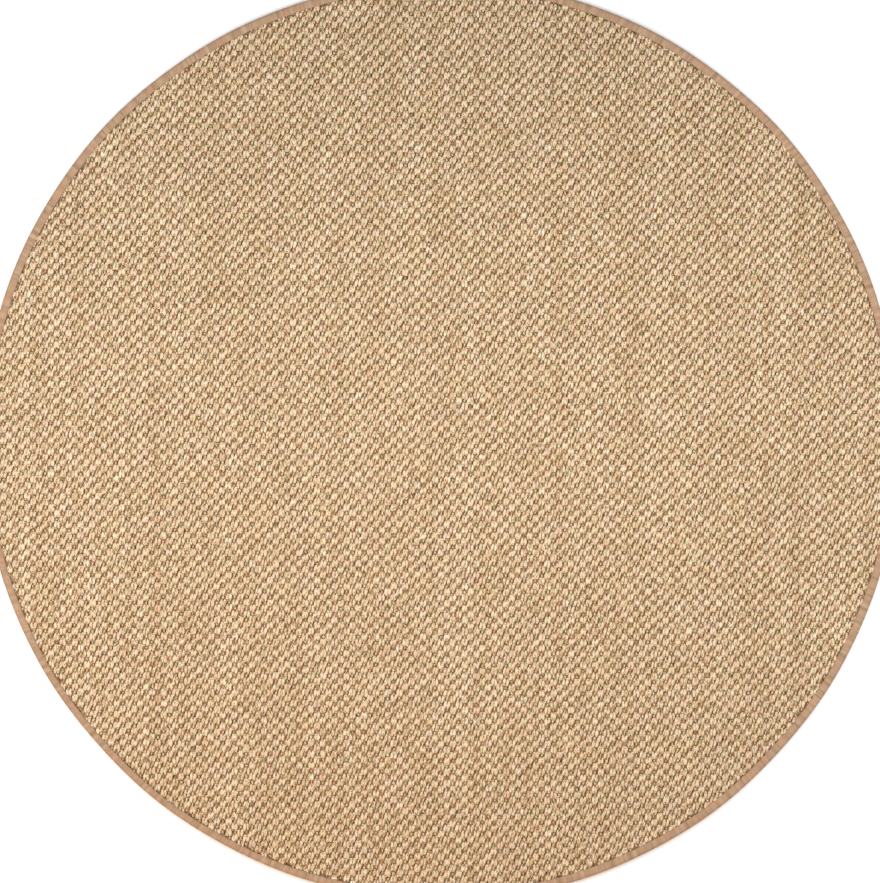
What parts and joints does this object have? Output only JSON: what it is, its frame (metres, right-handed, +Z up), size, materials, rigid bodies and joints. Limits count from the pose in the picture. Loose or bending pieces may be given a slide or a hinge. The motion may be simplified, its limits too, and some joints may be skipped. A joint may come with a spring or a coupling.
{
  "type": "round sisal rug",
  "caption": "Round flat rug of woven sisal with a pebbled half-basket weave and a narrow matt yarn binding all round its edge, lying flat on the floor.",
  "frame": {"origin": "middle of the underside, on the floor", "axes": "+Z up from the floor, +Y along the warp yarns (up in the picture), +X across them"},
  "size_m": [0.7994, 0.8007, 0.0078],
  "materials": {
    "sisal": "coarse matt weave of natural sisal yarn",
    "binding_yarn": "matt, closely laid overcast yarn"
  },
  "bodies": {
    "root": {"woven_field": "sisal", "edge_binding": "binding_yarn"}
  },
  "joints": []
}
